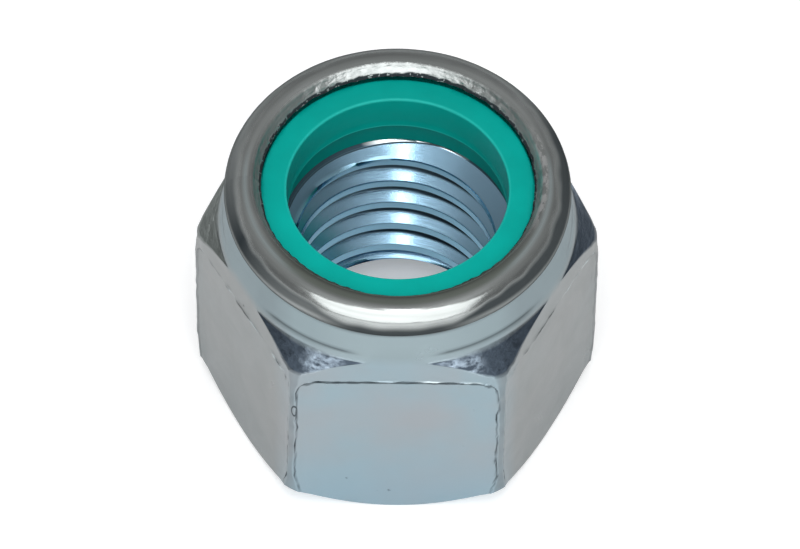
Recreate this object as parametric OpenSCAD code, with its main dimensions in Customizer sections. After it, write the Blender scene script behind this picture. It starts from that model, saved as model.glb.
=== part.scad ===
// Hexagon lock nut with a captive plastic ring, in millimetres.
// The steel body stands on its bearing face at z = 0, with the bolt axis on Z.
// Its thin top collar is rolled inwards over the ring, which grips the bolt's thread.

/* [Hexagon] */
// Width across the flats
across_flats = 19.05; // [18.2:0.05:20.6]
// Depth by which the six corners are trimmed round
corner_trim = 0.14; // [0.02:0.02:0.6]
// Depth by which the edge of the bearing face lies inside the flats
foot_inset = 0.22; // [0.05:0.01:0.9]
// Slope of the chamfer round the bearing face, from level
foot_angle = 42; // [20:1:55]
// Slope of the turned shelf above each corner, from level
shelf_angle = 47; // [30:1:60]

/* [Height] */
// Height of the nut, from the bearing face to the top of the roll
nut_h = 17.3; // [15.5:0.05:20]
// Height of the conical shoulder between the shelves and the collar
shoulder_h = 1.77; // [1.2:0.01:2.4]
// Lean of the shoulder, from upright
shoulder_angle = 22; // [10:1:28]

/* [Thread] */
// Major diameter of the thread
thread_major_d = 12.7; // [12:0.05:13.1]
// Depth of the thread, down to the bore between its crests
thread_depth = 0.95; // [0.7:0.01:1.06]
// Depth by which the chamfer under the ring clears the thread
entry_clearance = 0.1; // [0.05:0.01:0.4]
// Slope of the chamfer under the ring, from level
entry_angle = 30; // [20:1:45]
// Width by which the countersink in the bearing face reaches past the thread
mouth_margin = 1.15; // [0.3:0.05:1.5]
// Slope of that countersink, from level
mouth_angle = 45; // [35:1:60]

/* [Ring] */
// Depth by which the ring's bore reaches in over the thread that it grips
ring_grip = 0.4; // [0.1:0.02:0.6]
// Thickness of the ring, from its bore to its outside
ring_wall = 2.36; // [1.9:0.02:2.5]
// Height of the ring
ring_h = 3.92; // [2.8:0.02:5]
// Depth of the wider lower part of the ring's bore
ring_relief = 0.28; // [0.16:0.01:0.35]
// Height of that wider part
ring_relief_h = 1.64; // [0.6:0.02:2]
// Rounding of the ring's upper inner edge
ring_edge_r = 0.12; // [0.1:0.02:0.7]
// Clearance between the ring and the collar, at the side and under the lip
ring_gap = 0.02; // [0.01:0.01:0.1]

/* [Collar] */
// Thickness of the collar's wall
collar_wall = 0.95; // [0.7:0.01:1.1]
// Rounding of the ring's outer edge, which the wall is bent over
bend_r = 0.23; // [0.12:0.01:0.5]
// Depth of the crease under the roll
crease_depth = 0.36; // [0.15:0.01:0.5]
// Width by which the rolled lip covers the ring
lip_cover = 1; // [0.4:0.02:1.5]
// Slope of the lip's inner face, from level
lip_angle = 60; // [45:1:75]

/* [Hidden] */
$fn = 128;

// Radii grow outwards from the thread: ring, cavity, collar and the roll's bead
major_r = thread_major_d / 2;
minor_r = major_r - thread_depth;
entry_r = major_r + entry_clearance;
mouth_r = major_r + mouth_margin;
ring_bore_r = major_r - ring_grip;
ring_r = ring_bore_r + ring_wall;
cavity_r = ring_r + ring_gap;
lip_r = cavity_r - lip_cover;
collar_r = cavity_r + collar_wall;
cavity_corner_r = bend_r + ring_gap;
roll_r = collar_wall + cavity_corner_r;
roll_x = collar_r - roll_r;
crease_r = collar_r - crease_depth;
shoulder_r = crease_r + shoulder_h * tan(shoulder_angle);

// Radii of the hexagon: its sharp corners, its trimmed corners and its foot
sharp_r = across_flats / 2 / cos(30);
corner_r = sharp_r - corner_trim;
foot_r = across_flats / 2 - foot_inset;

// Heights come down from the top: roll, crease, shoulder and corner edge
roll_z = nut_h - roll_r;
cavity_top = nut_h - collar_wall;
crease_z = roll_z - sqrt(pow(roll_r, 2) - pow(crease_r - roll_x, 2));
shoulder_z = crease_z - shoulder_h;
corner_z = shoulder_z - (corner_r - shoulder_r) * tan(shelf_angle);
foot_z = (corner_r - foot_r) * tan(foot_angle);

// The shoulder's line runs on inside the roll, so that the two meet at the crease
buried_r = crease_r - (roll_z - crease_z) * tan(shoulder_angle);

// The ring stands on a ledge and fills the cavity up to the gap under the lip
ring_top = cavity_top - ring_gap;
ledge_z = ring_top - ring_h;
entry_z = ledge_z - (entry_r - minor_r) * tan(entry_angle);
mouth_z = (mouth_r - minor_r) * tan(mouth_angle);

// How far the cutters run past the metal that they cut
overrun = 1;
lip_rise = nut_h - cavity_top + overrun;

// Outline of the turned hexagon blank: foot, corner edge, shelf and shoulder
module blank_profile() {
    polygon([
        [0, 0],
        [foot_r, 0],
        [corner_r, foot_z],
        [corner_r, corner_z],
        [shoulder_r, shoulder_z],
        [buried_r, roll_z],
        [0, roll_z],
    ]);
}

// Straight outer wall, rounded upper corner and flat ceiling, drawn in by a clearance
module cavity_profile(clearance) {
    translate([0, ledge_z]) square([cavity_r - clearance, roll_z - ledge_z]);
    translate([0, ledge_z]) square([roll_x, cavity_top - clearance - ledge_z]);
    translate([roll_x, roll_z]) circle(cavity_corner_r - clearance);
}

// Countersink, bore at the thread's crests and the chamfer under the ring
module bore_profile() {
    polygon([
        [0, -overrun],
        [mouth_r + overrun / tan(mouth_angle), -overrun],
        [minor_r, mouth_z],
        [minor_r, entry_z],
        [entry_r, ledge_z],
        [entry_r, ledge_z + overrun],
        [0, ledge_z + overrun],
    ]);
}

// Opening of the lip, which leans outwards from the ring
module lip_profile() {
    polygon([
        [0, ledge_z],
        [lip_r, ledge_z],
        [lip_r, cavity_top],
        [lip_r + lip_rise / tan(lip_angle), cavity_top + lip_rise],
        [0, cavity_top + lip_rise],
    ]);
}

// Lower, wider part of the ring's bore
module relief_profile() {
    translate([0, ledge_z - overrun]) square([ring_bore_r + ring_relief, ring_relief_h + overrun]);
}

// What a rounding takes off the ring's upper inner edge
module edge_profile() {
    difference() {
        translate([0, ring_top - ring_edge_r]) square([ring_bore_r + ring_edge_r, ring_edge_r + overrun]);
        translate([ring_bore_r + ring_edge_r, ring_top - ring_edge_r]) circle(ring_edge_r);
    }
}

module hexagon_blank() {
    intersection() {
        rotate_extrude() blank_profile();
        cylinder(h = nut_h, r = sharp_r, $fn = 6);
    }
}

module rolled_bead() {
    rotate_extrude() translate([roll_x, roll_z]) circle(roll_r);
}

module nut_body() {
    color([0.66, 0.71, 0.74]) difference() {
        union() {
            hexagon_blank();
            rolled_bead();
        }
        rotate_extrude() {
            bore_profile();
            cavity_profile(0);
            lip_profile();
        }
    }
}

module locking_insert() {
    color([0.05, 0.62, 0.56]) rotate_extrude() difference() {
        cavity_profile(ring_gap);
        translate([0, ledge_z - overrun]) square([ring_bore_r, ring_h + 2 * overrun]);
        relief_profile();
        edge_profile();
    }
}

nut_body();
locking_insert();
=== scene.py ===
"""Looks for a hexagon lock nut with a captive plastic ring: pieces, materials, floor, lights and camera.

Lengths are millimetres, multiplied by MM where Blender takes them, except for the metres of the lamps and
of the floor's width. The front is -Y, where the camera stands, and the right is +X.
"""
import math
from types import SimpleNamespace

import bmesh
import bpy
from mathutils import Matrix, Vector, noise


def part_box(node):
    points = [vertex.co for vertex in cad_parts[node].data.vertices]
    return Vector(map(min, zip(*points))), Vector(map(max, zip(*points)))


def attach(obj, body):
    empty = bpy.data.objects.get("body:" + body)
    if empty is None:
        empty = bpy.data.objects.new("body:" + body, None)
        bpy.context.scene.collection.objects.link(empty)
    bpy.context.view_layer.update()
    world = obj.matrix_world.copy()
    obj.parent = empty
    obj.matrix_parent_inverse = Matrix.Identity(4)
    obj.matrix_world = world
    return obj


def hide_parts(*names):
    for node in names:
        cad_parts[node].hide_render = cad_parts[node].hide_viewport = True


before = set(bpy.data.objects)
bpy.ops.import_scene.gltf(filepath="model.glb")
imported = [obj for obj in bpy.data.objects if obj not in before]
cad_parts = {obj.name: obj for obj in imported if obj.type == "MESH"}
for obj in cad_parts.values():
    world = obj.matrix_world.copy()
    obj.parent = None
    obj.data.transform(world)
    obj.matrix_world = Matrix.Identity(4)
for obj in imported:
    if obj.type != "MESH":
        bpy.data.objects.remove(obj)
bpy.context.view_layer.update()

MM = 0.001

# Sizes that follow the CAD model's nodes
nut_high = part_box("nut_body")[1]
ring_low, ring_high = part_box("locking_insert")
NUT_H = nut_high.z / MM
APOTHEM = nut_high.y / MM
RING_R = ring_high.x / MM
LEDGE_Z = ring_low.z / MM
RING_TOP = ring_high.z / MM

# Hexagon: half a side, the chamfered foot, and the slopes of foot and shelf from level
HALF_SIDE = APOTHEM * math.tan(math.radians(30))
FOOT_INSET = 0.22
FOOT_R = APOTHEM - FOOT_INSET
FOOT_SLOPE = math.tan(math.radians(42))
SHELF_SLOPE = math.tan(math.radians(47))

# The two front corners stand out past a regular hexagon, the left one mostly at its foot
RIGHT_SPREAD = 0.28
LEFT_SPREAD_FOOT = 0.3
LEFT_SPREAD_TOP = 0.05

# Worn strip along each corner: half its width, and how much wider it runs out at both ends
STRIP_HALF = 0.21525
STRIP_LEAST = 0.1
STRIP_FLARE_TOP = 0.27
STRIP_FLARE_FOOT = 0.34
# Heights between which the strip widens to its top and narrows from its foot
STRIP_TOP_Z = (10.6, 12.3)
STRIP_FOOT_Z = (0.9, 3.4)
STRIP_BULGE = 0.22

# Collar: a bead rolled over the ring, above a conical shoulder that leans from upright
ROLL_R = 1.2
ROLL_PROUD = 0.018
COLLAR_R = 9.28
ROLL_X = COLLAR_R - ROLL_R
ROLL_Z = NUT_H - ROLL_R
CREASE_DEPTH = 0.36
CREASE_R = COLLAR_R - CREASE_DEPTH
CREASE_Z = ROLL_Z - math.sqrt(ROLL_R**2 - (CREASE_R - ROLL_X) ** 2)
SHOULDER_H = 1.77
SHOULDER_SLOPE = math.tan(math.radians(22))
SHOULDER_Z = CREASE_Z - SHOULDER_H
SHOULDER_R = CREASE_R + SHOULDER_H * SHOULDER_SLOPE
# Tool marks on the shoulder: how deep they are, and where from its foot (0) to the crease (1)
GROOVE_DEPTH = 0.035
GROOVE_AT = 0.26
LINE_DEPTH = 0.006
LINE_AT = 0.62
MARK_WIDTH = 0.05

# Lip: the bead's crown falls away by this angle, in degrees, to the inner face and its torn edge
CROWN_SWEEP = 70
LIP_TOP_R = 7.66
LIP_TOP_Z = 17.05
LIP_EDGE_R = 7.33
LIP_EDGE_Z = 16.62
RING_GAP = 0.02
CAVITY_R = RING_R + RING_GAP

# Thread, 13 turns to the inch, right-hand
PITCH = 25.4 / 13
MINOR_R = 5.4
MAJOR_R = 6.35
ENTRY_R = 6.45
ENTRY_SLOPE = math.tan(math.radians(30))
MOUTH_R = 7.5
MOUTH_SLOPE = math.tan(math.radians(50))
THREAD_COLUMNS = 216
THREAD_START = 1.0
# Width over which the thread and the cones at its ends run into each other
THREAD_ROUND = 0.07

# Plastic ring: its bore, with the wider part at its foot, and the rounding of its upper inner edge
RING_BORE_R = 5.95
RELIEF_R = 6.23
RELIEF_Z = LEDGE_Z + 1.64
RING_EDGE = 0.12
RING_COLUMNS = 192

# Raised rim round each flat: the flat's panel lies lower, under a burr line
PANEL_DEPTH = 0.11
PANEL_SIDE_DEPTH = 0.05
PANEL_TOP = 11.86
PANEL_CORNER = 1.0
PANEL_MARGIN = 0.06
BURR = 0.08
RIM_LEAN = 0.07
# Width over which the edge between a flat and the shoulder is rounded
EDGE_ROUND = 0.14

# Meshes: points closer than this are joined, shorter edges are dropped, and an edge bent by more
# degrees than this stays sharp
WELD = 0.002
SHORTEST_EDGE = 0.0005
SHARP_BEND = 28

# Steps across each flat and each corner strip
FLAT_STEPS = 60
STRIP_STEPS = 6
# Steps up a column: flat below the panel's top edge, round that edge, above it, shelf, shoulder, bead, its
# crown and the lip's inner face
PANEL_ROWS = 24
RIM_ROWS = 22
TOP_ROWS = 6
SHELF_ROWS = 8
SHOULDER_ROWS = 16
BEAD_ROWS = 28
CROWN_ROWS = 7
LIP_ROWS = 11


def smooth(low, high, x):
    """0 below low, 1 above high, and an even curve between."""
    t = min(1.0, max(0.0, (x - low) / (high - low)))
    return t * t * (3 - 2 * t)


def mix(a, b, t):
    """a at t = 0, b at t = 1 and an even change between."""
    return a + (b - a) * t


def peak(x, centre, width):
    """1 at the centre, falling away evenly to both sides."""
    return math.exp(-(((x - centre) / width) ** 2))


def wobble(x, y, z, scale):
    """Smooth noise from about -1 to 1, with features of the given size."""
    return noise.noise(Vector((x, y, z)) / scale)


def new_object(name, verts, faces, material):
    """A smooth-shaded mesh object that rides on the part's only body.

    A vertex is x, y, z and, where it has them, its dirt and painted light and its share of turned shelf.
    Above 0 that is dirt and painted shade, and below 0 it is painted highlight.
    """
    mesh = bpy.data.meshes.new(name)
    mesh.from_pydata([Vector(v[:3]) * MM for v in verts], [], faces)
    for place, label in enumerate(("grime", "shelf"), 3):
        attribute = mesh.attributes.new(label, "FLOAT", "POINT")
        attribute.data.foreach_set("value", [v[place] if len(v) > place else 0.0 for v in verts])
    bm = bmesh.new()
    bm.from_mesh(mesh)
    bmesh.ops.remove_doubles(bm, verts=bm.verts, dist=WELD * MM)
    bmesh.ops.dissolve_degenerate(bm, edges=bm.edges, dist=SHORTEST_EDGE * MM)
    bmesh.ops.recalc_face_normals(bm, faces=bm.faces)
    bm.to_mesh(mesh)
    bm.free()
    for face in mesh.polygons:
        face.use_smooth = True
    mesh.set_sharp_from_angle(angle=math.radians(SHARP_BEND))
    mesh.materials.append(material)
    obj = bpy.data.objects.new(name, mesh)
    bpy.context.scene.collection.objects.link(obj)
    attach(obj, "root")
    return obj


def grid_faces(first, rows, columns):
    """Quads of a grid of rows that each close on themselves."""
    faces = []
    for i in range(rows - 1):
        for j in range(columns):
            k = (j + 1) % columns
            a = first + i * columns
            faces.append((a + j, a + k, a + columns + k, a + columns + j))
    return faces


def zip_rings(verts, ring_a, ring_b):
    """Triangles between two closed rings with different numbers of points, matched by their angle."""
    def turned(ring):
        angles = [math.atan2(verts[i][1], verts[i][0]) % math.tau for i in ring]
        start = angles.index(min(angles))
        order = ring[start:] + ring[:start]
        return order, [math.atan2(verts[i][1], verts[i][0]) % math.tau for i in order]

    a, angle_a = turned(ring_a)
    b, angle_b = turned(ring_b)
    angle_a.append(angle_a[0] + math.tau)
    angle_b.append(angle_b[0] + math.tau)
    faces = []
    i = j = 0
    while i < len(a) or j < len(b):
        if j == len(b) or (i < len(a) and angle_a[i + 1] <= angle_b[j + 1]):
            faces.append((a[i], a[(i + 1) % len(a)], b[j % len(b)]))
            i += 1
        else:
            faces.append((a[i % len(a)], b[(j + 1) % len(b)], b[j]))
            j += 1
    return faces


# Outside of the nut: each column is a place round the hexagon, from a flat or from a corner strip


def corner_point(k, z):
    """Plan position of hexagon corner k (0 is the front-right one), as forged, before its trimming."""
    angle = math.radians(-60 + 60 * k)
    r = HALF_SIDE / math.sin(math.radians(30))
    x = r * math.cos(angle)
    y = r * math.sin(angle)
    if k == 0:
        x += RIGHT_SPREAD
    if k == 5:
        x -= mix(LEFT_SPREAD_FOOT, LEFT_SPREAD_TOP, z / PANEL_TOP)
    return Vector((x, y))


def strip_half(k, side, z):
    """How far corner k's strip reaches along the flat on its side (-1 clockwise, 1 anticlockwise)."""
    seed = 7.3 * k + 2.9 * side
    flare = STRIP_FLARE_TOP * smooth(*STRIP_TOP_Z, z) + STRIP_FLARE_FOOT * (1 - smooth(*STRIP_FOOT_Z, z))
    rough = 0.06 * wobble(seed, 0, z, 0.45) + 0.05 * wobble(seed, 9, z, 1.7)
    return max(STRIP_LEAST, STRIP_HALF + flare + rough)


def panel_inside(k, x, z, half):
    """Distances inwards from the outline of flat k's panel: from its side and from its whole outline."""
    jag = 0.04 * wobble(x, z, 11.0 * k, 0.3) + 0.05 * wobble(x, z, 5.0 * k, 1.3)
    jag *= 1 + 1.2 * smooth(1.0, 4.0, x)
    side = half - PANEL_MARGIN - abs(x)
    top = PANEL_TOP + 0.05 * wobble(x, 3.0, 13.0 * k, 2.4) - z
    if side < PANEL_CORNER and top < PANEL_CORNER:
        inside = PANEL_CORNER - math.hypot(PANEL_CORNER - side, PANEL_CORNER - top)
    else:
        inside = min(side, top)
    return side, inside + jag


def flat_depth(z, inside, above, flash):
    """How deep the flat lies at a place: its panel, the burr line round it and the rim's lean."""
    depth = mix(PANEL_SIDE_DEPTH, PANEL_DEPTH, above) * smooth(-0.01, 0.05, inside)
    depth -= BURR * flash * peak(inside, -0.05, 0.06) * mix(0.4, 1.0, above)
    rim = 1 - smooth(-0.05, 0.02, inside)
    depth -= RIM_LEAN * (1 - smooth(PANEL_TOP, PANEL_TOP + 1.4, z)) * rim * above
    return depth


def flat_grime(k, x, z, inside, above, flash):
    """Painted shade in the corner under the burr line, patchy along it."""
    reach = mix(0.04, 0.38, above)
    at_side = 0.35 + 0.9 * smooth(-0.5, 0.5, wobble(x, z, 9.0 * k, 0.9))
    patchy = mix(at_side, 0.6 + 0.4 * flash, above)
    return smooth(-0.03, 0.02, inside) * (1 - smooth(reach, reach + 0.07, inside)) * patchy


def flat_point(k, t, z):
    """Point on flat k (0 is the front), t from -1 to 1 between its strips, and its grime."""
    left = corner_point((k + 5) % 6, z)
    right = corner_point(k % 6, z)
    along = (right - left).normalized()
    out = Vector((along.y, -along.x))
    a = left + along * strip_half((k + 5) % 6, 1, z)
    b = right - along * strip_half(k % 6, -1, z)
    p = a.lerp(b, (t + 1) / 2)
    half = (b - a).length / 2
    x = t * half
    side, inside = panel_inside(k, x, z, half)
    above = smooth(0.1, 0.6, side)
    flash = smooth(-0.3, 0.4, wobble(x, 2 * z, 17.0 * k, 0.8))
    depth = flat_depth(z, inside, above, flash)
    grime = flat_grime(k, x, z, inside, above, flash)
    # The painted shade is fainter at the outermost corners at the left and right
    if abs(math.hypot(p.x, p.y) - abs(p.x)) < 1.5:
        grime *= 0.3
    # Painted highlight on parts of the burr line
    burr_highlight = smooth(0.0, 0.35, wobble(x, 5 * z, 3.0 + 5.0 * k, 1.6)) * above
    grime -= 0.8 * burr_highlight * peak(inside, -0.06, 0.05)
    wave = 0.012 * wobble(p.x, p.y, z, 4.0)
    return p - out * (depth + wave + 0.012 + RIM_LEAN * 0.3), grime


def strip_point(k, s, z):
    """Point on the strip of corner k, s from 0 to 1 between its two flats, and its grime."""
    a = flat_point(k, 1, z)[0]
    b = flat_point((k + 1) % 6, -1, z)[0]
    p = a.lerp(b, s)
    bulge = STRIP_BULGE * (b - a).length * s * (1 - s)
    return p + p.normalized() * bulge, 0.26 + 0.12 * wobble(p.x, p.y, z, 0.8)


def hexagon_columns():
    """Functions of height that give the plan position of each column."""
    columns = []
    for k in range(6):
        for i in range(FLAT_STEPS + 1):
            u = -1 + 2 * i / FLAT_STEPS
            t = 0.3 * u + 0.7 * math.sin(math.pi / 2 * u)
            columns.append(lambda z, k=k, t=t: flat_point(k, t, z))
        for i in range(1, STRIP_STEPS):
            columns.append(lambda z, k=k, s=i / STRIP_STEPS: strip_point(k, s, z))
    return columns


def turned_height(r):
    """Height at which the turned shelf or shoulder has radius r."""
    if r > SHOULDER_R:
        return SHOULDER_Z - (r - SHOULDER_R) * SHELF_SLOPE
    return SHOULDER_Z + (SHOULDER_R - r) / SHOULDER_SLOPE


def rounding(r, limit, r0):
    """Radius on the worn edge where a flat meets the shoulder; r0 is the column's radius at its top."""
    width = EDGE_ROUND * (1 - smooth(SHOULDER_R - 0.09, SHOULDER_R + 0.01, r0))
    if width < 0.001:
        return r
    return r - width * math.log(1 + math.exp(-abs(limit - r) / width))


def shoulder_radius(z):
    """Radius of the shoulder's cone at a height."""
    return SHOULDER_R - (z - SHOULDER_Z) * SHOULDER_SLOPE


def top_of(column):
    """Height at which a column of the hexagon meets the shelf or the shoulder, and its radius there."""
    limit = SHOULDER_Z + 0.6
    top_z = SHOULDER_Z
    for _ in range(5):
        top_z = turned_height(column(min(top_z, limit))[0].length)
    return top_z, column(min(top_z, limit))[0].length


def hexagon_rows(column):
    """Points of one column from the bearing face to the top of its flat."""
    foot_z = 0.5
    for _ in range(3):
        foot_z = (column(foot_z)[0].length - FOOT_R) * FOOT_SLOPE
    foot = column(foot_z)[0]
    edge = foot.normalized() * FOOT_R
    rows = [(edge.x, edge.y, 0.0, 0.0)]
    for t in (0.06, 0.5, 0.94):
        p = edge.lerp(foot, t)
        rows.append((p.x, p.y, foot_z * t, 0.0))
    # The rows lie closest together round the top of the panel
    low = PANEL_TOP - 0.75
    high = PANEL_TOP + 0.25
    top_z, r0 = top_of(column)
    heights = [foot_z + 0.03]
    heights += [mix(foot_z, low, (i / PANEL_ROWS) ** 1.15) for i in range(1, PANEL_ROWS + 1)]
    heights += [mix(low, high, i / RIM_ROWS) for i in range(1, RIM_ROWS + 1)]
    heights += [mix(high, top_z, i / TOP_ROWS) for i in range(1, TOP_ROWS + 1)]
    for z in heights:
        p, grime = column(z)
        p *= rounding(p.length, shoulder_radius(z), r0) / p.length
        rows.append((p.x, p.y, z, grime))
    return rows, r0


def at_front(s):
    """1 on the short arc nearest the camera and 0 elsewhere; s is the sine of the place's angle."""
    return smooth(0.84, 0.98, -s)


def shelf_rows(top_z, r0, angle):
    """Points of one column over the shelf and the shoulder, up to the crease."""
    c = math.cos(angle)
    s = math.sin(angle)
    corner = smooth(SHOULDER_R, SHOULDER_R + 0.05, r0)
    cut = smooth(SHOULDER_R - 0.02, SHOULDER_R + 0.35, r0)
    # Painted shade darkens the crease, most at the front, and the tool groove towards the front
    crease_shade = mix(0.35, 0.8, at_front(s))
    groove_shade = 0.7 * smooth(0.3, 0.7, -s)
    rows = []
    for i in range(1, SHELF_ROWS + 1):
        t = i / SHELF_ROWS
        r = mix(r0, min(r0, SHOULDER_R), t)
        z = mix(top_z, max(top_z, SHOULDER_Z), t)
        rows.append((rounding(r, r0, r0), z, 0.0, corner if i < SHELF_ROWS else 0.4 * corner))
    r1 = min(r0, SHOULDER_R)
    z1 = rows[-1][1]
    for i in range(1, SHOULDER_ROWS + 1):
        t = i / SHOULDER_ROWS
        groove = peak(t, GROOVE_AT, MARK_WIDTH) * cut
        line = peak(t, LINE_AT, MARK_WIDTH)
        r = rounding(mix(r1, CREASE_R, t), r0, r0) - GROOVE_DEPTH * groove - LINE_DEPTH * line
        grime = groove_shade * groove + crease_shade * smooth(0.9, 1.0, t)
        rows.append((r, mix(z1, CREASE_Z, t), grime, 0.0))
    return [(r * c, r * s, z, grime, shelf) for r, z, grime, shelf in rows]


def bead_grime(a, c, s):
    """Painted dark reflection that climbs the bead from the crease, and a painted highlight along its
    crown; a is the place's angle above level in its section.
    """
    edge = 0.12 * wobble(8 * c, 8 * s, 0, 1.1)
    front = at_front(s)
    ahead = max(0.0, -s)
    left = smooth(0.0, 0.3, -c)
    sides = mix(mix(0.94, 1 - 0.55 * abs(-s - 0.42), left), 0.4, smooth(0.3, 0.95, s))
    start = math.radians(16 * max(0.0, 1 - 2 * ahead))
    sides *= mix(0.35, 1.0, smooth(start - math.radians(6), start + math.radians(12), a))
    strength = mix(sides, 0.95, front)
    # The painted dark reflection starts to thin at one angle and is gone at the other, lower down towards
    # the front
    clear = math.radians(mix(51 - 28 * ahead, -6, front)) + edge
    clean = math.radians(mix(84 - 52 * ahead, 24, front)) + edge
    # A painted highlight runs along the crown at both sides
    crown_highlight = smooth(-0.3, 0.0, -s) * (1 - smooth(0.6, 0.85, -s))
    off_line = math.degrees(a) - 86 + 12 * ahead
    return strength * (1 - smooth(clear, clean, a)) - 0.75 * crown_highlight * peak(off_line, 0, 6)


def bead_rows(c, s):
    """Section of the bead, from the crease up to its crown."""
    low = math.atan2(CREASE_Z - ROLL_Z, CREASE_R - ROLL_X)
    rows = []
    for i in range(1, BEAD_ROWS + 1):
        a = mix(low, math.pi / 2, i / BEAD_ROWS)
        dent = 0.012 * wobble(6 * c, 6 * s, 3 * a, 1.8) + 0.006 * wobble(9 * c, 9 * s, 9 * a, 0.7)
        r = ROLL_R + ROLL_PROUD + dent
        rows.append((ROLL_X + r * math.cos(a), ROLL_Z + r * math.sin(a), bead_grime(a, c, s)))
    return rows


def crown_rows(crown_z):
    """Flatter curve in which the bead falls away over its top to the lip's inner face."""
    rows = []
    for i in range(1, CROWN_ROWS + 1):
        a = math.radians(CROWN_SWEEP * i / CROWN_ROWS)
        r = ROLL_X - (ROLL_X - LIP_TOP_R) * math.sin(a) / math.sin(math.radians(CROWN_SWEEP))
        drop = (1 - math.cos(a)) / (1 - math.cos(math.radians(CROWN_SWEEP)))
        rows.append((r, mix(crown_z, LIP_TOP_Z, drop), 0.0))
    return rows


def lip_rows(top_r, top_z, c, s):
    """The lip's inner face, torn and scraped where the metal was spun over, and its edge; its lower part is
    painted as shade.
    """
    x = 7.5 * c
    y = 7.5 * s
    coarse = wobble(x, y, 4, 2.6)
    edge_r = LIP_EDGE_R + 0.07 * wobble(x, y, 0, 0.5) + 0.06 * coarse
    edge_z = LIP_EDGE_Z + 0.09 * wobble(x, y, 8, 0.35) - 0.05 * coarse
    # Painted shade from a ragged line down to the edge and under it
    tear = 0.52 + 0.16 * wobble(x, y, 2, 0.4)
    rows = []
    for i in range(1, LIP_ROWS + 1):
        t = i / LIP_ROWS
        scrape = 0.03 * wobble(x, y, 2.0 * t, 0.3) * math.sin(math.pi * min(t, 0.9))
        bow = 0.02 * math.sin(math.pi * t)
        r = mix(top_r, edge_r, t) + scrape - bow
        rows.append((r, mix(top_z, edge_z, t), smooth(tear, tear + 0.12, t)))
    rows.append((edge_r + 0.04, edge_z - 0.06, 1.0))
    rows.append((edge_r + 0.2, edge_z - 0.1, 1.0))
    return rows


def cavity_rows():
    """The cavity round the ring, from under the lip down to the ledge, painted as full shade."""
    rows = [(ROLL_X, RING_TOP + RING_GAP, 1.0)]
    rows.append((CAVITY_R - 0.07, ROLL_Z + 0.18, 1.0))
    rows.append((CAVITY_R, ROLL_Z, 1.0))
    rows.append((CAVITY_R, LEDGE_Z, 1.0))
    return rows


def roll_rows(angle):
    """Points of one column over the rolled bead, the lip and the cavity, down to the ledge."""
    c = math.cos(angle)
    s = math.sin(angle)
    rows = bead_rows(c, s)
    rows += crown_rows(rows[-1][1])
    rows += lip_rows(rows[-1][0], rows[-1][1], c, s)
    rows += cavity_rows()
    return [(r * c, r * s, z, grime) for r, z, grime in rows]


def outside_mesh(verts):
    """Adds the outside grid to verts and returns its faces and its first and last rings."""
    columns = []
    for column in hexagon_columns():
        rows, r0 = hexagon_rows(column)
        angle = math.atan2(rows[-1][1], rows[-1][0])
        rows += shelf_rows(rows[-1][2], r0, angle)
        rows += roll_rows(angle)
        columns.append(rows)
    count = len(columns)
    height = len(columns[0])
    first = len(verts)
    for i in range(height):
        verts.extend(column[i] for column in columns)
    faces = grid_faces(first, height, count)
    foot = list(range(first, first + count))
    ledge = list(range(first + (height - 1) * count, first + height * count))
    return faces, foot, ledge


# Thread


# One turn's section: height above the crest's lower edge as a share of the pitch, and the groove's
# depth there as a share of the thread's, over the crest, up one flank, along the root and back
THREAD_PROFILE = (
    (0.0, 0.0),
    (0.08, 0.0),
    (0.16, 0.0),
    (0.235, 0.0),
    (0.25, 0.015),
    (0.30, 0.19),
    (0.35, 0.367),
    (0.385, 0.49),
    (0.415, 0.596),
    (0.435, 0.666),
    (0.46, 0.753),
    (0.495, 0.877),
    (0.53, 1.0),
    (0.61, 1.0),
    (0.69, 1.0),
    (0.75, 0.79),
    (0.83, 0.51),
    (0.91, 0.23),
    (0.975, 0.0),
)


def soft_max(a, b):
    """The larger of two radii, with the edge where they meet slightly rounded."""
    return (a + b + math.hypot(a - b, THREAD_ROUND)) / 2


def bore_radius(thread_r, z):
    """Radius of the hole at a height: the thread, or the cone at either end where that is wider."""
    entry = ENTRY_R - (LEDGE_Z - z) / ENTRY_SLOPE
    mouth = MOUTH_R - z / MOUTH_SLOPE
    if z in (0.0, LEDGE_Z):
        return max(entry, mouth)
    return soft_max(thread_r, max(entry, mouth))


def bore_shade_and_highlight(angle, z, depth, hidden):
    """Painted shade in the thread's grooves, stronger towards the right, and a painted highlight on its
    crests; hidden is how far a cone lies beyond the thread.
    """
    to_right = smooth(-0.5, 0.8, math.cos(angle))
    edge = mix(0.64, 0.5, to_right)
    shade_and_crest_highlight = smooth(edge, edge + 0.05, depth) * mix(0.8, 1.0, to_right)
    top = smooth(mix(11.9, 11.2, to_right), mix(12.15, 11.7, to_right), z)
    shade_and_crest_highlight *= smooth(2.6, 3.6, z) * (1 - top)
    shade_and_crest_highlight -= 0.9 * (1 - smooth(0.0, 0.012, depth))
    return shade_and_crest_highlight * (1 - smooth(0.04, 0.14, hidden))


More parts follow.
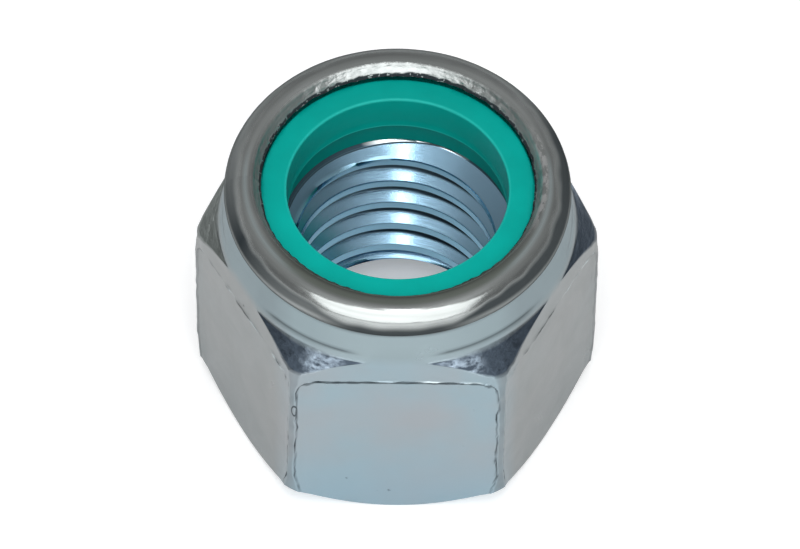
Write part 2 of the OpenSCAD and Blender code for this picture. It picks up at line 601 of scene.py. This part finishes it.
def bore_mesh(verts):
    """Adds the threaded bore as a helical grid and returns its faces."""
    per_turn = len(THREAD_PROFILE)
    turns = math.ceil(LEDGE_Z / PITCH) + 3
    rows = turns * per_turn
    start = THREAD_START - 2 * PITCH
    first = len(verts)
    for i in range(rows):
        phase, depth = THREAD_PROFILE[i % per_turn]
        for j in range(THREAD_COLUMNS + 1):
            angle = math.tau * j / THREAD_COLUMNS
            z = start + PITCH * (i // per_turn + phase + j / THREAD_COLUMNS)
            z = min(LEDGE_Z, max(0.0, z))
            worn = 0.012 * wobble(3 * math.cos(angle), 3 * math.sin(angle), z, 1.1)
            thread_r = mix(MINOR_R, MAJOR_R, depth) + worn
            r = bore_radius(thread_r, z)
            shade_and_crest_highlight = bore_shade_and_highlight(angle, z, depth, r - thread_r)
            verts.append((r * math.cos(angle), r * math.sin(angle), z, shade_and_crest_highlight))
    width = THREAD_COLUMNS + 1
    faces = []
    # Rows that lie wholly in the bearing face or in the ledge are left out
    for i in range(rows - 1):
        for j in range(THREAD_COLUMNS):
            a = first + i * width + j
            quad = (a, a + 1, a + width + 1, a + width)
            heights = {round(verts[q][2], 5) for q in quad}
            if heights != {0.0} and heights != {round(LEDGE_Z, 5)}:
                faces.append(quad)
    return faces


def ring_points(verts, radius, z, count):
    """Adds a level circle of points and returns their numbers."""
    first = len(verts)
    for j in range(count):
        angle = math.tau * j / count
        verts.append((radius * math.cos(angle), radius * math.sin(angle), z))
    return list(range(first, first + count))


def make_nut_body(material):
    """The steel body as one closed mesh: outside, bore, bearing face and ledge."""
    verts = []
    faces, foot, ledge = outside_mesh(verts)
    faces += bore_mesh(verts)
    mouth = ring_points(verts, MOUTH_R, 0.0, THREAD_COLUMNS)
    entry = ring_points(verts, ENTRY_R, LEDGE_Z, THREAD_COLUMNS)
    faces += zip_rings(verts, foot, mouth)
    faces += zip_rings(verts, ledge, entry)
    obj = new_object("nut_body_detailed", verts, faces, material)
    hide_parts("nut_body")


# Plastic ring


def insert_profile():
    """Outline of the ring's section, from the foot of its outside over the top to the foot of its bore."""
    # The upper outer corner, hidden under the lip, is cut away, which leaves a dark gap along the torn edge
    points = [(RING_R, LEDGE_Z), (RING_R, 15.2), (8.1, 15.6), (7.6, 15.7), (7.45, 15.9)]
    points += [(7.38, RING_TOP - 0.12), (7.34, RING_TOP - 0.04), (7.27, RING_TOP), (7.0, RING_TOP)]
    points.append((6.6, RING_TOP))
    for i in range(9):
        a = math.radians(90 + 90 * i / 8)
        r = RING_BORE_R + RING_EDGE + RING_EDGE * math.cos(a)
        points.append((r, RING_TOP - RING_EDGE + RING_EDGE * math.sin(a)))
    points += [(RING_BORE_R, 15.2), (RING_BORE_R, 14.6), (RING_BORE_R, RELIEF_Z + 0.24)]
    # A fine swollen line runs round the edge of the step
    points += [(RING_BORE_R - 0.045, RELIEF_Z + 0.1), (RING_BORE_R - 0.045, RELIEF_Z + 0.04)]
    points += [(RING_BORE_R + 0.02, RELIEF_Z), (RELIEF_R - 0.02, RELIEF_Z - 0.03)]
    points += [(RELIEF_R, RELIEF_Z - 0.08), (RELIEF_R, 13.2)]
    points += [(RELIEF_R, LEDGE_Z + 0.05), (RELIEF_R + 0.05, LEDGE_Z)]
    return points


def make_insert(material):
    """The plastic ring: its section turned round the axis, a little uneven as moulded."""
    profile = insert_profile()
    verts = []
    for r, z in profile:
        for j in range(RING_COLUMNS):
            angle = math.tau * j / RING_COLUMNS
            c = math.cos(angle)
            s = math.sin(angle)
            top = smooth(RING_TOP - 0.05, RING_TOP, z)
            lift = -0.01 * top * abs(wobble(r * c, r * s, 0, 2.2))
            inward = 0.008 * wobble(6 * c, 6 * s, z, 1.6)
            verts.append(((r + inward) * c, (r + inward) * s, z + lift, 0.0))
    faces = grid_faces(0, len(profile), RING_COLUMNS)
    last = (len(profile) - 1) * RING_COLUMNS
    for j in range(RING_COLUMNS):
        k = (j + 1) % RING_COLUMNS
        faces.append((last + j, last + k, k, j))
    obj = new_object("locking_insert_detailed", verts, faces, material)
    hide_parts("locking_insert")


# Materials


class Graph:
    """The nodes of a material or of the world, added and joined by short calls."""

    def __init__(self, owner):
        owner.use_nodes = True
        self.owner = owner
        self.tree = owner.node_tree

    def sockets(self, shader="Principled BSDF"):
        """Inputs of the shader, which each new tree has already."""
        return self.tree.nodes[shader].inputs

    def add(self, kind, **settings):
        node = self.tree.nodes.new("ShaderNode" + kind)
        for key, value in settings.items():
            setattr(node, key, value)
        return node

    def join(self, source, target):
        self.tree.links.new(source, target)

    def put(self, value, target):
        """Joins a socket, or sets a plain number or colour."""
        if isinstance(value, bpy.types.NodeSocket):
            self.join(value, target)
        else:
            target.default_value = value

    def math(self, operation, a, b=0.0, clamp=False):
        node = self.add("Math", operation=operation, use_clamp=clamp)
        self.put(a, node.inputs[0])
        self.put(b, node.inputs[1])
        return node.outputs[0]

    def times(self, a, b):
        return self.math("MULTIPLY", a, b)

    def most(self, a, b):
        return self.math("MAXIMUM", a, b)

    def rest(self, a):
        """What is left of 1."""
        return self.math("SUBTRACT", 1.0, a)

    def gap(self, value, centre):
        """Distance between a value and a fixed one."""
        return self.math("ABSOLUTE", self.math("SUBTRACT", value, centre))

    def length(self, a, b):
        return self.math("SQRT", self.math("ADD", self.times(a, a), self.times(b, b)))

    def noise(self, vector, scale, detail=3.0, roughness=0.5, distortion=0.0):
        node = self.add("TexNoise")
        self.join(vector, node.inputs["Vector"])
        node.inputs["Scale"].default_value = scale
        node.inputs["Detail"].default_value = detail
        node.inputs["Roughness"].default_value = roughness
        node.inputs["Distortion"].default_value = distortion
        return node.outputs[0]

    def span(self, value, low, high, to_low=0.0, to_high=1.0):
        """Even change from to_low, where the value is low, to to_high, where it is high."""
        node = self.add("MapRange", clamp=True)
        self.join(value, node.inputs["Value"])
        node.inputs["From Min"].default_value = low
        node.inputs["From Max"].default_value = high
        node.inputs["To Min"].default_value = to_low
        node.inputs["To Max"].default_value = to_high
        return node.outputs[0]

    def zone(self, length, low, high, to_low=0.0, to_high=1.0):
        """A span between two lengths in millimetres."""
        return self.span(length, low * MM, high * MM, to_low, to_high)

    def blend(self, factor, a, b, mode="MIX"):
        node = self.add("MixRGB", blend_type=mode)
        self.put(factor, node.inputs[0])
        self.put(a, node.inputs[1])
        self.put(b, node.inputs[2])
        return node.outputs[0]

    def ramp(self, value, stops):
        """Colours between stops, each a place and a colour."""
        node = self.add("ValToRGB")
        self.join(value, node.inputs["Fac"])
        elements = node.color_ramp.elements
        for i, (place, colour) in enumerate(stops):
            # A new ramp has two stops already
            element = elements[i] if i < 2 else elements.new(place)
            element.position = place
            element.color = colour
        return node.outputs[0]

    def bump(self, height, distance, strength=1.0, normal=None):
        node = self.add("Bump")
        node.inputs["Distance"].default_value = distance
        node.inputs["Strength"].default_value = strength
        self.join(height, node.inputs["Height"])
        if normal is not None:
            self.join(normal, node.inputs["Normal"])
        return node.outputs[0]

    def place(self):
        """Object coordinates, with the radius from the axis and the angle round it."""
        coords = self.add("TexCoord").outputs["Object"]
        split = self.add("SeparateXYZ")
        self.join(coords, split.inputs[0])
        x, y, z = split.outputs
        radius = self.length(x, y)
        angle = self.math("ARCTAN2", y, x)
        return SimpleNamespace(coords=coords, x=x, y=y, z=z, radius=radius, angle=angle)

    def streaks(self, at, around, across):
        """Coordinates in which noise turns into lines that run round the axis."""
        node = self.add("CombineXYZ")
        self.join(self.times(at.angle, around), node.inputs[0])
        self.join(self.times(at.radius, across), node.inputs[1])
        self.join(self.times(at.z, across), node.inputs[2])
        return node.outputs[0]


# Places on the body as x, y, z and radius: pits in the plate, and worn spots on the shelves
PITS = (
    (-4.69, -9.5, 7.6, 0.09),
    (3.67, -9.5, 5.75, 0.1),
    (3.5, -9.5, 5.6, 0.07),
    (-0.9, -9.5, 1.45, 0.1),
    (-0.3, -9.5, 1.5, 0.13),
    (-8.1, -4.9, 12.3, 0.1),
    (8.7, -3.9, 12.4, 0.08),
    (-2.6, -9.5, 2.6, 0.12),
)
WORN_SPOTS = (
    (-4.3, -9.2, 12.9, 0.25),
    (-3.5, -9.35, 13.0, 0.2),
    (3.9, -9.35, 12.95, 0.3),
    (3.0, -9.4, 13.1, 0.15),
    (9.9, 2.6, 12.9, 0.3),
    (-9.8, 3.1, 12.8, 0.3),
)


# Oval chip beside the front flat's left strip: its middle and its half sizes
CHIP_X = -5.42
CHIP_Z = 9.0
CHIP_HALF_WIDTH = 0.14
CHIP_HALF_HEIGHT = 0.42

# Middle of the band of scuffs on the roll's inner side
SCUFF_R = 7.85

# Heights and radii over which the body's regions fade in, or out where they end
ROLL_FROM_Z = (15.15, 15.4)
ROLL_FROM_R = (7.2, 7.4)
LIP_TO_R = (7.75, 7.9)
BORE_TO_R = (6.9, 7.1)
SHOULDER_FROM_Z = (13.2, 13.9)
GREEN_REFLECTION_TO_R = (8.3, 8.5)

# The ring's bore, the painted highlight along its step and the painted shade below that
RING_WALL_TO_R = (6.3, 6.35)
STEP_LINE_Z = LEDGE_Z + 1.69
STEP_SHADE_TO_Z = (LEDGE_Z + 1.6, LEDGE_Z + 1.65)

# Seat of the ring in the bore: its painted shadow line, and the rim above it, with a painted highlight at
# the back only and painted shade elsewhere
SEAT_LINE_Z = 12.19
SEAT_RIM_Z = 12.205
SEAT_RIM_TOP = 12.33
SEAT_LIT_ANGLE = 1.4

# Base colours of the plated steel
PLATE_BLUE = (0.31, 0.40, 0.445, 1)
PLATE_PINK = (0.345, 0.375, 0.40, 1)
PLATE_GREEN = (0.33, 0.39, 0.40, 1)
PLATE_AT_FOOT = (0.29, 0.41, 0.48, 1)
# Painted shade: greyer and darker at the sides, and darker on the shoulder under the roll
PLATE_SHADED_SIDES = (0.29, 0.298, 0.295, 1)
SHOULDER_SHADED_FRONT = (0.29, 0.36, 0.385, 1)
SHOULDER_SHADED_SIDES = (0.24, 0.29, 0.31, 1)
# Painted dark reflection on the turned shelves
SHELF_PAINTED_DARK = (0.07, 0.092, 0.12, 1)
SHELF_WORN = (0.34, 0.42, 0.5, 1)
SHELF_LEFT = (0.2, 0.222, 0.215, 1)
SPUN_DARK = (0.38, 0.405, 0.40, 1)
SPUN_PALE = (0.52, 0.55, 0.545, 1)
SCRAPED = (0.8, 0.82, 0.82, 1)
# Painted reflection of the green ring on the roll
GREEN_REFLECTION = (0.13, 0.17, 0.11, 1)
BORE = (0.32, 0.53, 0.7, 1)
# Painted shade high on the bore's left side
BORE_SHADED_LEFT = (0.1, 0.22, 0.29, 1)
# Painted highlights on the flats, the roll and the thread's crests
PLATE_HIGHLIGHT = (0.62, 0.72, 0.74, 1)
CREST_HIGHLIGHT = (0.41, 0.72, 0.9, 1)
# Painted highlight on the seat's rim
SEAT_HIGHLIGHT = (0.85, 0.92, 0.95, 1)
# Colour of dirt and of painted shade
DIRT_AND_SHADE = (0.014, 0.02, 0.024, 1)

# Base colours of the plastic
NYLON_DEEP = (0.0, 0.32, 0.275, 1)
NYLON_PALE = (0.0, 0.36, 0.31, 1)
# Painted shade in the ring's bore, and painted highlight along its inner edge and its step
NYLON_SHADED = (0.0, 0.11, 0.10, 1)
NYLON_HIGHLIGHT = (0.03, 0.5, 0.44, 1)


def spots(g, at, places, fade):
    """1 at the given places, with ragged edges that fade out."""
    rough = g.times(g.noise(at.coords, 9000, 2.0), 0.12 * MM)
    total = None
    for x, y, z, size in places:
        away = g.add("VectorMath", operation="DISTANCE")
        g.join(at.coords, away.inputs[0])
        away.inputs[1].default_value = (x * MM, y * MM, z * MM)
        near = g.math("ADD", away.outputs["Value"], rough)
        mask = g.zone(near, size, size + fade, 1.0, 0.0)
        total = mask if total is None else g.most(total, mask)
    return total


def chip_mask(g, at):
    """Thin oval outline of a flake that came off."""
    wide = g.math("DIVIDE", g.math("SUBTRACT", at.x, CHIP_X * MM), CHIP_HALF_WIDTH * MM)
    tall = g.math("DIVIDE", g.math("SUBTRACT", at.z, CHIP_Z * MM), CHIP_HALF_HEIGHT * MM)
    rim = g.span(g.gap(g.length(wide, tall), 1.0), 0.12, 0.3, 1.0, 0.0)
    return g.times(rim, g.zone(at.y, -8.5, -8.0, 1.0, 0.0))


def scuff_mask(g, at):
    """Scraped marks on the inner side of the roll, towards the right."""
    grain = g.noise(g.streaks(at, 11.0, 2600), 1.0, 3.0, 0.6)
    across = g.zone(g.gap(at.radius, SCUFF_R * MM), 0.1, 0.3, 1.0, 0.0)
    along = g.span(g.math("ABSOLUTE", at.angle), 0.25, 0.5, 1.0, 0.0)
    return g.times(g.times(across, along), g.span(grain, 0.45, 0.56))


def seat_painted_light(g, at):
    """Painted shadow along the line where the ring is seated and painted shade above it, except at the
    back, where the rim above it gets a painted highlight.
    """
    line = g.times(g.zone(g.gap(at.z, SEAT_LINE_Z * MM), 0.012, 0.035, 0.9, 0.0), at.inside)
    # The rim and the painted shade above the seat reach lower towards the right
    deeper = g.zone(at.x, 1.5, 6.2, 0.0, 0.3 * MM)
    above = g.times(g.zone(g.math("ADD", at.z, deeper), SEAT_RIM_Z, SEAT_RIM_TOP), at.inside)
    lit = g.span(g.gap(at.angle, SEAT_LIT_ANGLE), 0.3, 0.5, 1.0, 0.0)
    shade = g.times(g.span(above, 0.02, 0.1, 0.0, 0.85), g.rest(lit))
    return g.most(line, shade), g.times(above, lit)


def steel_places(g):
    """Coordinates on the body, with the masks and noises that its colour, gloss and relief share."""
    at = g.place()
    at.grime = g.add("Attribute", attribute_name="grime").outputs["Fac"]
    at.shelf = g.add("Attribute", attribute_name="shelf").outputs["Fac"]
    at.roll = g.times(g.zone(at.z, *ROLL_FROM_Z), g.zone(at.radius, *ROLL_FROM_R))
    at.lip = g.times(g.zone(at.radius, *LIP_TO_R, 1.0, 0.0), at.roll)
    at.inside = g.zone(at.radius, *BORE_TO_R, 1.0, 0.0)
    at.patch = g.noise(at.coords, 520, 4.0, 0.6, 0.4)
    at.scratches = g.noise(g.streaks(at, 14.0, 2600), 1.0, 3.0, 0.6)
    at.pits = spots(g, at, PITS, 0.1)
    at.scuffs = scuff_mask(g, at)
    at.seat_line, at.seat_rim = seat_painted_light(g, at)
    return at


def flats_colour(g, at):
    """Bluish plate with pinkish clouds, deeper at the foot, with painted shade that makes it greyer and
    darker at the sides and darker on the shoulder under the roll.
    """
    cloud = g.noise(at.coords, 190, 3.0, 0.55)
    colour = g.blend(g.span(cloud, 0.35, 0.68), PLATE_BLUE, PLATE_PINK)
    colour = g.blend(g.span(at.patch, 0.6, 0.78, 0.0, 0.35), colour, PLATE_GREEN)
    colour = g.blend(g.zone(at.z, 1.5, 6, 0.6, 0.0), colour, PLATE_AT_FOOT)
    sides = g.zone(g.math("ABSOLUTE", at.x), 5.4, 6.6, 0.0, 0.85)
    colour = g.blend(sides, colour, PLATE_SHADED_SIDES)
    shaded_shoulder = g.blend(sides, SHOULDER_SHADED_FRONT, SHOULDER_SHADED_SIDES)
    return g.blend(g.zone(at.z, *SHOULDER_FROM_Z), colour, shaded_shoulder)


def shelf_colour(g, at):
    """Turned metal painted nearly black as a dark reflection, with worn spots, paler at the left corner."""
    worn = g.times(g.span(at.scratches, 0.4, 0.6), spots(g, at, WORN_SPOTS, 0.9))
    colour = g.blend(worn, SHELF_PAINTED_DARK, SHELF_WORN)
    return g.blend(g.zone(at.x, -8.6, -7.6, 1.0, 0.0), colour, SHELF_LEFT)


def roll_colour(g, at):
    """Spun metal, streaked round the axis and scuffed at the right."""
    turned = g.noise(g.streaks(at, 0.8, 1700), 1.0, 2.0, 0.5)
    spun = g.blend(g.span(turned, 0.35, 0.65), SPUN_DARK, SPUN_PALE)
    return g.blend(at.scuffs, spun, SCRAPED)


def steel_colour(g, at):
    """Colour of the metal under its dirt, with its painted shade, painted highlights and a painted
    reflection.
    """
    colour = g.blend(at.shelf, flats_colour(g, at), shelf_colour(g, at))
    colour = g.blend(at.roll, colour, roll_colour(g, at))
    # Painted reflection of the green ring on the top of the roll, towards the front
    green_reflection = g.times(g.zone(at.radius, *GREEN_REFLECTION_TO_R, 1.0, 0.0), g.zone(at.y, -6, -3, 0.5, 0.0))
    colour = g.blend(g.times(green_reflection, at.roll), colour, GREEN_REFLECTION)
    # Painted shade high on the bore's left side
    left_shade = g.times(g.span(at.angle, 1.9, 2.3, 0.0, 0.5), g.zone(at.z, 7.5, 10.5))
    colour = g.blend(at.inside, colour, g.blend(left_shade, BORE, BORE_SHADED_LEFT))
    # Painted highlights where the channel of dirt and painted light falls below 0
    painted_highlight = g.span(at.grime, -0.9, 0.0, 0.9, 0.0)
    colour = g.blend(painted_highlight, colour, g.blend(at.inside, PLATE_HIGHLIGHT, CREST_HIGHLIGHT))
    return g.blend(g.span(at.seat_rim, 0.02, 0.1), colour, SEAT_HIGHLIGHT)


def steel_dirt_and_shade(g, at):
    """How much dirt and painted shade cover the metal, from 0 to 1."""
    dirt_and_shade = g.most(g.times(at.grime, 0.97), g.times(at.pits, 0.8))
    dirt_and_shade = g.most(dirt_and_shade, g.times(chip_mask(g, at), 0.8))
    dirt_and_shade = g.math("MAXIMUM", dirt_and_shade, at.seat_line, True)
    # Painted shade: the roll is darker where it turns away from the eye, standing in for a dark reflection
    # along its outline
    facing = g.add("LayerWeight").outputs["Facing"]
    dirt_and_shade = g.most(dirt_and_shade, g.times(at.roll, g.span(facing, 0.5, 0.85, 0.0, 0.72)))
    flecks = g.times(g.span(g.noise(at.coords, 5200, 2.0), 0.6, 0.66), at.lip)
    return g.times(dirt_and_shade, g.rest(flecks))


def steel_roughness(g, at, dirt_and_shade):
    """Satin on the flats, glossy on the roll and in the thread, scratched on the shelves and the lip."""
    rough = g.span(at.patch, 0.3, 0.75, 0.27, 0.38)
    rough = g.blend(at.roll, rough, g.span(at.patch, 0.3, 0.75, 0.13, 0.22))
    rough = g.blend(at.shelf, rough, g.span(at.scratches, 0.4, 0.7, 0.5, 0.28))
    rough = g.blend(at.inside, rough, g.span(at.patch, 0.3, 0.75, 0.15, 0.24))
    rough = g.blend(at.lip, rough, g.span(at.scratches, 0.3, 0.7, 0.28, 0.5))
    rough = g.blend(at.scuffs, rough, (0.38, 0.38, 0.38, 1))
    return g.blend(dirt_and_shade, rough, (0.6, 0.6, 0.6, 1))


def steel_relief(g, at):
    """Fine grain and tool lines, the seat's rim, torn metal and the pits."""
    grain = g.noise(at.coords, 9000, 4.0, 0.6)
    lines = g.noise(g.streaks(at, 3.0, 9000), 1.0, 4.0, 0.65)
    relief = g.bump(grain, 0.0035 * MM, 0.5)
    relief = g.bump(at.patch, 0.012 * MM, 0.5, relief)
    relief = g.bump(at.seat_rim, 0.072 * MM, 1.0, relief)
    relief = g.bump(g.times(lines, g.most(at.shelf, at.inside)), 0.006 * MM, 0.7, relief)
    relief = g.bump(g.times(at.scratches, g.most(at.shelf, at.lip)), 0.06 * MM, 1.0, relief)
    return g.bump(g.rest(at.pits), 0.02 * MM, 1.0, relief)


def zinc_material():
    """Bright zinc plate with its wear, dirt and painted light."""
    g = Graph(bpy.data.materials.new("zinc_plate"))
    at = steel_places(g)
    dirt_and_shade = steel_dirt_and_shade(g, at)
    clean = g.rest(dirt_and_shade)
    sockets = g.sockets()
    g.join(g.blend(dirt_and_shade, steel_colour(g, at), DIRT_AND_SHADE), sockets["Base Color"])
    g.join(clean, sockets["Metallic"])
    g.join(g.span(clean, 0.6, 1.0, 0.0, 0.5), sockets["Specular IOR Level"])
    g.join(g.blend(at.roll, (0.8, 0.8, 0.8, 1), (0.15, 0.15, 0.15, 1)), sockets["Specular Tint"])
    g.join(steel_roughness(g, at, dirt_and_shade), sockets["Roughness"])
    g.join(steel_relief(g, at), sockets["Normal"])
    return g.owner


def nylon_colour(g, at):
    """Green, with painted shade in the bore and painted highlights along the ring's inner edge and its
    step.
    """
    cloud = g.noise(at.coords, 350, 3.0)
    colour = g.blend(g.span(cloud, 0.35, 0.7), NYLON_DEEP, NYLON_PALE)
    # Painted light: the ring is a little paler towards the front and darker towards the back
    colour = g.blend(1.0, colour, g.zone(at.y, -7, 7, 1.2, 0.87), "MULTIPLY")
    bore = g.zone(at.radius, *RING_WALL_TO_R, 1.0, 0.0)
    step_gap = g.gap(at.z, STEP_LINE_Z * MM)
    step_highlight = g.times(bore, g.zone(step_gap, 0.03, 0.08, 0.6, 0.0))
    brim_highlight = g.times(g.zone(at.radius, 6.0, 6.1, 0.5, 0.0), g.zone(at.z, 16.15, 16.25))
    wall = g.times(bore, g.zone(at.z, RING_TOP - 0.14, RING_TOP - 0.04, 1.0, 0.0))
    below_step = g.zone(at.z, *STEP_SHADE_TO_Z, 0.32, 0.0)
    shade = g.most(g.times(wall, 0.1), g.times(wall, below_step))
    colour = g.blend(shade, colour, NYLON_SHADED)
    return g.blend(g.most(step_highlight, brim_highlight), colour, NYLON_HIGHLIGHT)


def nylon_material():
    """Smooth green moulded plastic."""
    g = Graph(bpy.data.materials.new("green_moulded_nylon"))
    at = g.place()
    grain = g.noise(at.coords, 7000, 3.0)
    sockets = g.sockets()
    g.join(nylon_colour(g, at), sockets["Base Color"])
    sockets["Specular IOR Level"].default_value = 0.09
    g.join(g.span(grain, 0.3, 0.7, 0.34, 0.46), sockets["Roughness"])
    g.join(g.bump(grain, 0.002 * MM, 0.5), sockets["Normal"])
    return g.owner


def floor_material():
    """White paper, which camera and mirror rays see as white while the shadow stays."""
    g = Graph(bpy.data.materials.new("white_paper"))
    fibre = g.noise(g.add("TexCoord").outputs["Object"], 900, 3.0)
    sockets = g.sockets()
    g.join(g.blend(fibre, (0.86, 0.87, 0.875, 1), (0.88, 0.885, 0.89, 1)), sockets["Base Color"])
    sockets["Roughness"].default_value = 0.9
    sockets["Specular IOR Level"].default_value = 0.2
    g.join(g.bump(fibre, 0.01 * MM, 0.3), sockets["Normal"])
    rays = g.add("LightPath")
    mirrored = g.most(rays.outputs["Is Glossy Ray"], rays.outputs["Is Transmission Ray"])
    seen = g.most(g.times(rays.outputs["Is Camera Ray"], 0.3), g.times(mirrored, 0.18))
    sockets["Emission Color"].default_value = (1, 1, 1, 1)
    g.join(seen, sockets["Emission Strength"])
    return g.owner


# Studio


# Half the floor's width in metres, and how far it lies below the bearing face in millimetres
FLOOR_HALF = 2.0
FLOOR_DROP = 0.01


def make_floor():
    """A wide sheet of white paper."""
    mesh = bpy.data.meshes.new("floor")
    h = FLOOR_HALF
    mesh.from_pydata([(-h, -h, 0), (h, -h, 0), (h, h, 0), (-h, h, 0)], [], [(0, 1, 2, 3)])
    mesh.materials.append(floor_material())
    floor = bpy.data.objects.new("floor", mesh)
    floor.location.z = -FLOOR_DROP * MM
    bpy.context.scene.collection.objects.link(floor)


# The studio's light by the height of a direction, 0 at the horizon and 1 overhead: all round, and
# from a scrim that stands high in front of the nut
AROUND = (
    (0.02, (0.4, 0.4, 0.4, 1)),
    (0.25, (0.2, 0.2, 0.205, 1)),
    (0.6, (0.26, 0.26, 0.26, 1)),
    (0.9, (0.4, 0.4, 0.4, 1)),
)
SCRIM = (
    (0.83, (0, 0, 0, 1)),
    (0.87, (0.15, 0.15, 0.15, 1)),
    (0.95, (0.15, 0.15, 0.15, 1)),
    (0.98, (0, 0, 0, 1)),
)


def make_world():
    """Bright round the horizon and darker above it; the camera sees plain white."""
    world = bpy.data.worlds.new("studio")
    bpy.context.scene.world = world
    g = Graph(world)
    split = g.add("SeparateXYZ")
    g.join(g.add("TexCoord").outputs["Generated"], split.inputs[0])
    height = split.outputs["Z"]
    in_front = g.span(split.outputs["Y"], -0.15, 0.0, 1.0, 0.0)
    light = g.blend(in_front, g.ramp(height, AROUND), g.ramp(height, SCRIM), "ADD")
    seen = g.blend(g.add("LightPath").outputs["Is Camera Ray"], light, (1, 1, 1, 1))
    g.join(seen, g.sockets("Background")["Color"])


def direction(azimuth, elevation):
    """Unit vector towards a place seen from the nut; azimuth 0 is the front and 90 the right."""
    a = math.radians(azimuth)
    e = math.radians(elevation)
    return Vector((math.sin(a) * math.cos(e), -math.cos(a) * math.cos(e), math.sin(e)))


# Height in metres of the place that the lamps face
LAMP_TARGET_Z = 0.01


def make_lamp(name, azimuth, elevation, distance, width, height, radiance):
    """A soft rectangular lamp that faces the nut; its distance and sizes are in metres."""
    data = bpy.data.lights.new(name, "AREA")
    data.shape = "RECTANGLE"
    data.size = width
    data.size_y = height
    data.energy = radiance * math.pi * width * height
    lamp = bpy.data.objects.new(name, data)
    back = direction(azimuth, elevation)
    lamp.location = back * distance + Vector((0, 0, LAMP_TARGET_Z))
    lamp.rotation_euler = (-back).to_track_quat("-Z", "Y").to_euler()
    bpy.context.scene.collection.objects.link(lamp)
    return lamp


# Camera, solved from the photograph: degrees for its direction and roll, millimetres for its distance from
# the pivot, for the pivot itself, for the place that is mid-frame and for the lens
CAMERA_AZIMUTH = -0.193
CAMERA_ELEVATION = 54.07
CAMERA_DISTANCE = 443.76
CAMERA_ROLL = 0.77
CAMERA_PIVOT = Vector((0, 0, 6.35))
CAMERA_AIM = Vector((0.185, 0, 8.5))
CAMERA_LENS = 366.5


def make_camera():
    """Looks down from the front, rolled a little, as the photographer did."""
    data = bpy.data.cameras.new("camera")
    data.sensor_width = 36
    data.lens = CAMERA_LENS
    data.clip_start = 0.01
    data.clip_end = 10
    camera = bpy.data.objects.new("camera", data)
    place = CAMERA_PIVOT + direction(CAMERA_AZIMUTH, CAMERA_ELEVATION) * CAMERA_DISTANCE
    turn = (CAMERA_AIM - place).to_track_quat("-Z", "Y").to_matrix()
    turn = turn @ Matrix.Rotation(math.radians(CAMERA_ROLL), 3, "Z")
    camera.matrix_world = Matrix.Translation(place * MM) @ turn.to_4x4()
    bpy.context.scene.collection.objects.link(camera)
    bpy.context.scene.camera = camera


bpy.context.scene.view_settings.view_transform = "Standard"
make_nut_body(zinc_material())
make_insert(nylon_material())
make_floor()
make_world()
make_lamp("front_softbox", azimuth=0, elevation=34, distance=0.45, width=0.74, height=0.52, radiance=1.85)
make_lamp("camera_side_lamp", azimuth=6, elevation=68, distance=0.5, width=0.055, height=0.1, radiance=6.0)
overhead = make_lamp("overhead", azimuth=0, elevation=90, distance=0.6, width=0.7, height=0.7, radiance=1.2)
overhead.visible_glossy = False
make_camera()
